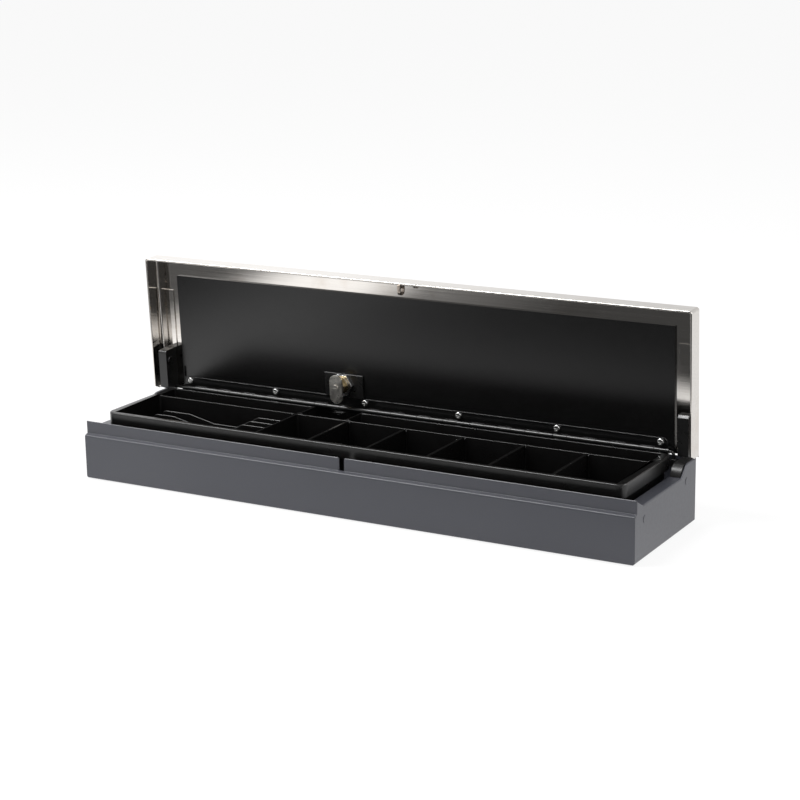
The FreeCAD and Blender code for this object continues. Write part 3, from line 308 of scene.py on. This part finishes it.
def soften(node, width):
    """Cleans a piece's mesh and rounds or cuts its edges, all by modifiers."""
    weld = node.modifiers.new("weld", "WELD")
    weld.merge_threshold = WELD_DISTANCE
    flat = node.modifiers.new("flat", "DECIMATE")
    flat.decimate_type = "DISSOLVE"
    flat.angle_limit = FLAT_ANGLE
    edge = node.modifiers.new("edge", "BEVEL")
    edge.width = width / 1000
    cut_flat = node.name in FLAT_EDGES
    edge.segments = 4 if cut_flat else 2
    edge.profile = 0.28 if cut_flat else 0.5
    edge.limit_method = "ANGLE"
    edge.angle_limit = EDGE_ANGLE
    edge.miter_outer = "MITER_ARC"
    edge.use_clamp_overlap = not cut_flat
    shade = node.modifiers.new("shade", "WEIGHTED_NORMAL")
    shade.weight = 60
    shade.keep_sharp = False


for name, node in nodes.items():
    dress(node, SLOT_OF[name])
nodes["clamp_bolt"].data.materials[0] = LOOKS["spring_steel"]
nodes["torsion_bar"].data.materials[0] = LOOKS["black_steel"]

for name, node in nodes.items():
    if name in EDGE:
        soften(node, EDGE[name])


# Small details that the CAD leaves out. Their places are in millimetres.
# The lock's are those of the shut lid, which lid_open() swings up to the photo's pose.
LOCK_X, LOCK_Y, LID_TOP = -78.0, 42.45, 71.25
THREAD_TURNS, THREAD_PITCH, THREAD_START = 8, 1.0, 9.1
THREAD_ROOT, THREAD_CREST, THREAD_HALF = 8.01, 8.4, 0.42
STEPS_AROUND, STEPS_FADING = 48, 12
SOCKET_X, CONTACT_PITCH = 225, 1.02
CONTACT_PATH = ((71.0, 32.95), (69.0, 32.95), (64.0, 31.4), (61.0, 31.1))
TERMINAL_X, TERMINAL_PITCH = -19.0, 7.1
TERMINAL_PATH = ((-61.4, 45.6), (-61.4, 43.5), (-61.4, 41.2))


def lid_open():
    swing = Matrix.Rotation(-LID_ANGLE, 4, "X")
    return Matrix.Translation(HINGE) @ swing @ Matrix.Translation(-HINGE)


def add_piece(name, mesh, slot, body):
    bm = bmesh.new()
    bm.from_mesh(mesh)
    bmesh.ops.recalc_face_normals(bm, faces=bm.faces)
    bm.to_mesh(mesh)
    bm.free()
    piece = bpy.data.objects.new(name, mesh)
    bpy.context.scene.collection.objects.link(piece)
    dress(piece, slot)
    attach(piece, body)


def barrel_thread():
    """The lock barrel's thread, wound round it from the nut to its end."""
    swing = lid_open()
    steps = THREAD_TURNS * STEPS_AROUND
    points, faces = [], []
    for k in range(steps + 1):
        angle = math.tau * k / STEPS_AROUND
        depth = THREAD_START + THREAD_PITCH * k / STEPS_AROUND
        fade = min(1.0, k / STEPS_FADING, (steps - k) / STEPS_FADING)
        crest = THREAD_ROOT + (THREAD_CREST - THREAD_ROOT) * fade
        for radius, offset in ((THREAD_ROOT, -THREAD_HALF), (crest, 0.0), (THREAD_ROOT, THREAD_HALF)):
            x = LOCK_X + radius * math.cos(angle)
            y = LOCK_Y + radius * math.sin(angle)
            z = LID_TOP - depth - offset
            points.append(swing @ Vector((x / 1000, y / 1000, z / 1000)))
    for k in range(steps):
        for i in range(2):
            a = 3 * k + i
            faces.append((a, a + 1, a + 4, a + 3))
    mesh = bpy.data.meshes.new("barrel_thread")
    mesh.from_pydata(points, [], faces)
    mesh.polygons.foreach_set("use_smooth", [True] * len(mesh.polygons))
    add_piece("barrel_thread", mesh, "lock_brass", "lid")


def bent_bars(name, places, path, width, thickness, slot):
    """Equal thin bars of metal on the base, each bent along a path of (y, z) at its own x."""
    verts, faces = [], []
    across = Vector((1, 0, 0))
    for x in places:
        points = [Vector((x, y, z)) for y, z in path]
        first = len(verts)
        for i, point in enumerate(points):
            along = (points[min(i + 1, len(points) - 1)] - points[max(i - 1, 0)]).normalized()
            out = along.cross(across)
            for side, up in ((-1, -1), (1, -1), (1, 1), (-1, 1)):
                corner = point + across * (side * width / 2) + out * (up * thickness / 2)
                verts.append(corner / 1000)
        for i in range(len(points) - 1):
            a = first + 4 * i
            faces += [(a + j, a + (j + 1) % 4, a + 4 + (j + 1) % 4, a + 4 + j) for j in range(4)]
        last = first + 4 * (len(points) - 1)
        faces += [tuple(range(first, first + 4)), tuple(range(last, last + 4))]
    mesh = bpy.data.meshes.new(name)
    mesh.from_pydata(verts, [], faces)
    add_piece(name, mesh, slot, "base")


barrel_thread()
contacts = [SOCKET_X + CONTACT_PITCH * (i - 2.5) for i in range(6)]
bent_bars("socket_contacts", contacts, CONTACT_PATH, 0.4, 0.3, "lock_brass")
terminals = [TERMINAL_X + TERMINAL_PITCH * i for i in (-1, 0, 1)]
bent_bars("switch_terminals", terminals, TERMINAL_PATH, 2.8, 0.5, "zinc_steel")


# Floor, light and background.
FLOOR_REACH = 14.0
FLOOR_WHITE = (0.88, 0.88, 0.88, 1)
FLOOR_GLOW_SHARE = 0.84
FLOOR_GLOW = 1.03
WHITE = (1, 1, 1, 1)


class Stage:
    """The nodes of the floor's material or of the world."""

    def __init__(self, tree, point):
        self.tree = tree
        self.x, self.y, self.z = self.add("ShaderNodeSeparateXYZ", point).outputs

    def add(self, kind, *inputs, **settings):
        node = self.tree.nodes.new(kind)
        for key, value in settings.items():
            setattr(node, key, value)
        for socket, value in zip(node.inputs, inputs):
            if isinstance(value, (int, float)):
                socket.default_value = value
            else:
                self.tree.links.new(value, socket)
        return node

    def math(self, operation, first, second):
        return self.add("ShaderNodeMath", first, second, operation=operation).outputs[0]

    def step(self, value, start, end, low=0.0, high=1.0):
        """Goes smoothly from low to high while a value goes from start to end."""
        smooth = {"interpolation_type": "SMOOTHSTEP"}
        return self.add("ShaderNodeMapRange", value, start, end, low, high, **smooth).outputs[0]


def mirrored_floor(stage):
    """The floor's brightness in shiny surfaces: white round the drawer and to the left, dark in front."""
    right = stage.math("MAXIMUM", stage.x, 0.0)
    line = stage.math("SUBTRACT", stage.y, stage.math("MULTIPLY", right, 0.12))
    near = stage.step(line, -0.33, -0.25)
    panel = stage.step(stage.x, -0.30, -0.42)
    lit = stage.math("MAXIMUM", near, panel)
    dim = stage.step(stage.x, -0.30, -0.08, 0.20, 0.065)
    gain = stage.step(stage.x, -0.25, 0.20, 1.08, 0.94)
    ahead = stage.step(stage.y, 0.10, -0.05, 1.0, 1.15)
    gained = stage.math("MULTIPLY", stage.math("MULTIPLY", lit, gain), ahead)
    bright = stage.math("ADD", dim, gained)
    front = stage.step(stage.y, -0.30, -0.20)
    left = stage.math("MAXIMUM", stage.step(stage.x, -0.62, -0.50, 0.08, 1.0), front)
    return stage.math("MULTIPLY", bright, left)


def make_floor():
    """White, with a glow of its own that only the camera sees and another in shiny surfaces."""
    mesh = bpy.data.meshes.new("floor")
    signs = ((-1, -1), (1, -1), (1, 1), (-1, 1))
    corners = [(a * FLOOR_REACH, b * FLOOR_REACH, FLOOR_Z) for a, b in signs]
    mesh.from_pydata(corners, [], [(0, 1, 2, 3)])
    floor = bpy.data.objects.new("floor", mesh)
    bpy.context.scene.collection.objects.link(floor)
    material = bpy.data.materials.new("floor_white")
    material.use_nodes = True
    tree = material.node_tree
    tree.nodes.clear()
    stage = Stage(tree, tree.nodes.new("ShaderNodeNewGeometry").outputs["Position"])
    matte = stage.add("ShaderNodeBsdfDiffuse")
    matte.inputs[0].default_value = FLOOR_WHITE
    glow = stage.add("ShaderNodeEmission")
    glow.inputs[0].default_value = WHITE
    glow.inputs[1].default_value = FLOOR_GLOW
    mirrored = stage.add("ShaderNodeEmission")
    tree.links.new(mirrored_floor(stage), mirrored.inputs["Strength"])
    path = stage.add("ShaderNodeLightPath")
    share = stage.math("MULTIPLY", path.outputs["Is Camera Ray"], FLOOR_GLOW_SHARE)
    seen = stage.add("ShaderNodeMixShader", share, matte.outputs[0], glow.outputs[0])
    glossy = path.outputs["Is Glossy Ray"]
    both = stage.add("ShaderNodeMixShader", glossy, seen.outputs[0], mirrored.outputs[0])
    stage.add("ShaderNodeOutputMaterial", both.outputs[0])
    mesh.materials.append(material)


def make_world():
    """A white room, brightest at the level of the table, and dim towards the camera."""
    world = bpy.data.worlds.new("world")
    world.use_nodes = True
    bpy.context.scene.world = world
    tree = world.node_tree
    stage = Stage(tree, tree.nodes.new("ShaderNodeTexCoord").outputs["Generated"])
    overhead = stage.step(stage.z, 0.30, 0.85, 1.05, 0.65)
    front = stage.step(stage.y, -0.75, 0.15, 0.35, 1.0)
    right = stage.step(stage.x, -0.56, -0.36, 1.2, 0.80)
    strength = stage.math("MULTIPLY", stage.math("MULTIPLY", overhead, front), right)
    background = tree.nodes["Background"]
    background.inputs[0].default_value = WHITE
    tree.links.new(strength, background.inputs[1])


def add_lamp(name, place, target, size, power):
    data = bpy.data.lights.new(name, "AREA")
    data.shape = "RECTANGLE"
    data.size, data.size_y = size
    data.energy = power
    lamp = bpy.data.objects.new(name, data)
    lamp.location = place
    aim = Vector(target) - Vector(place)
    lamp.rotation_euler = aim.to_track_quat("-Z", "Y").to_euler()
    bpy.context.scene.collection.objects.link(lamp)


make_floor()
make_world()
add_lamp("side", (1.7, 0.6, 0.9), (0.2, 0, 0.05), (1.2, 1.2), 15.0)
add_lamp("front_left", (-1.3, -1.0, 0.9), (-0.2, 0, 0.05), (0.9, 0.9), 3.5)
add_lamp("overhead", (-0.95, -0.56, 1.85), (-0.95, -0.07, 0.05), (1.6, 0.45), 48.0)
add_lamp("front_right", (0.9, -1.8, 0.9), (0.1, 0, 0.05), (1.4, 1.4), 9.0)

view = bpy.context.scene.view_settings
view.view_transform = "Standard"
